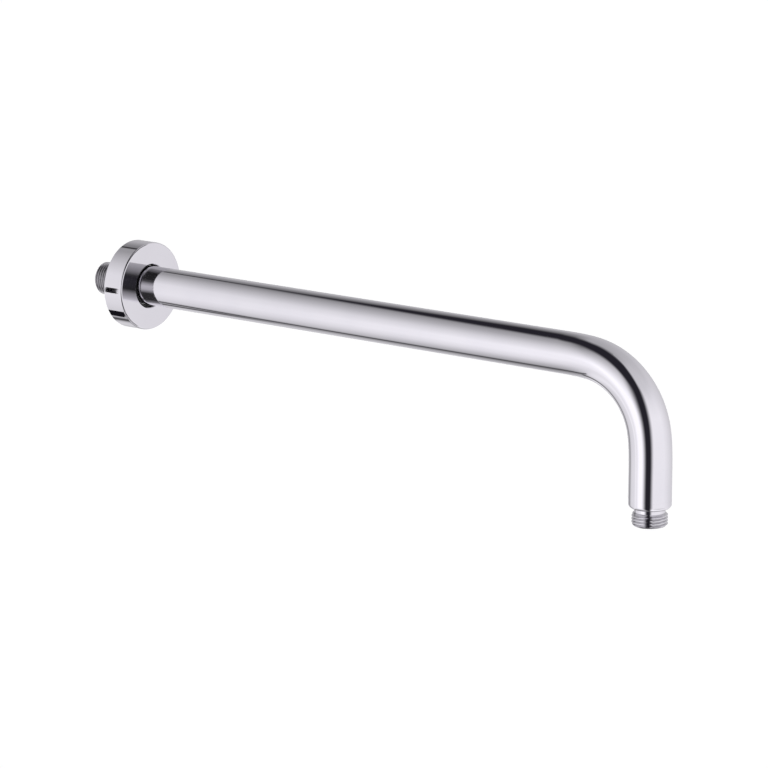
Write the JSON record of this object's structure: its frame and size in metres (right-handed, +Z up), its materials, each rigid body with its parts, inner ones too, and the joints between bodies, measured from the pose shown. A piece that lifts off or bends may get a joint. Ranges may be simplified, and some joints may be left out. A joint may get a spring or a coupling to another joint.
{
  "type": "shower arm",
  "caption": "Wall-mounted shower arm: round chrome tube with a right-angle bend, a loose round wall flange and a threaded nipple at each end.",
  "frame": {"origin": "on the inlet axis in the wall plane, where the flange's back edge meets the wall", "axes": "+X along the arm away from the wall, +Z up, and the outlet points along -Z"},
  "size_m": [0.4382, 0.056, 0.1208],
  "materials": {
    "chrome_tube": "polished chrome plate",
    "chrome_thread": "thin chrome plate, dull on the thread",
    "chrome_outlet": "polished chrome plate",
    "chrome_flange": "polished chrome plate",
    "ring_rubber": "matt black rubber"
  },
  "bodies": {
    "arm": {"arm_tube": "chrome_tube", "inlet_nipple": "chrome_thread", "outlet_nipple": "chrome_outlet"},
    "grip_ring": {"flange_o_ring": "ring_rubber"},
    "flange": {"wall_flange": "chrome_flange"}
  },
  "joints": [
    {"name": "flange_slide", "type": "slide", "parent": "arm", "child": "grip_ring", "axis": [1, 0, 0], "range_m": [0, 0.33]},
    {"name": "flange_spin", "type": "hinge", "parent": "grip_ring", "child": "flange", "pos_m": [0.011, 0, -0.0005], "axis": [1, 0, 0], "continuous": true}
  ]
}
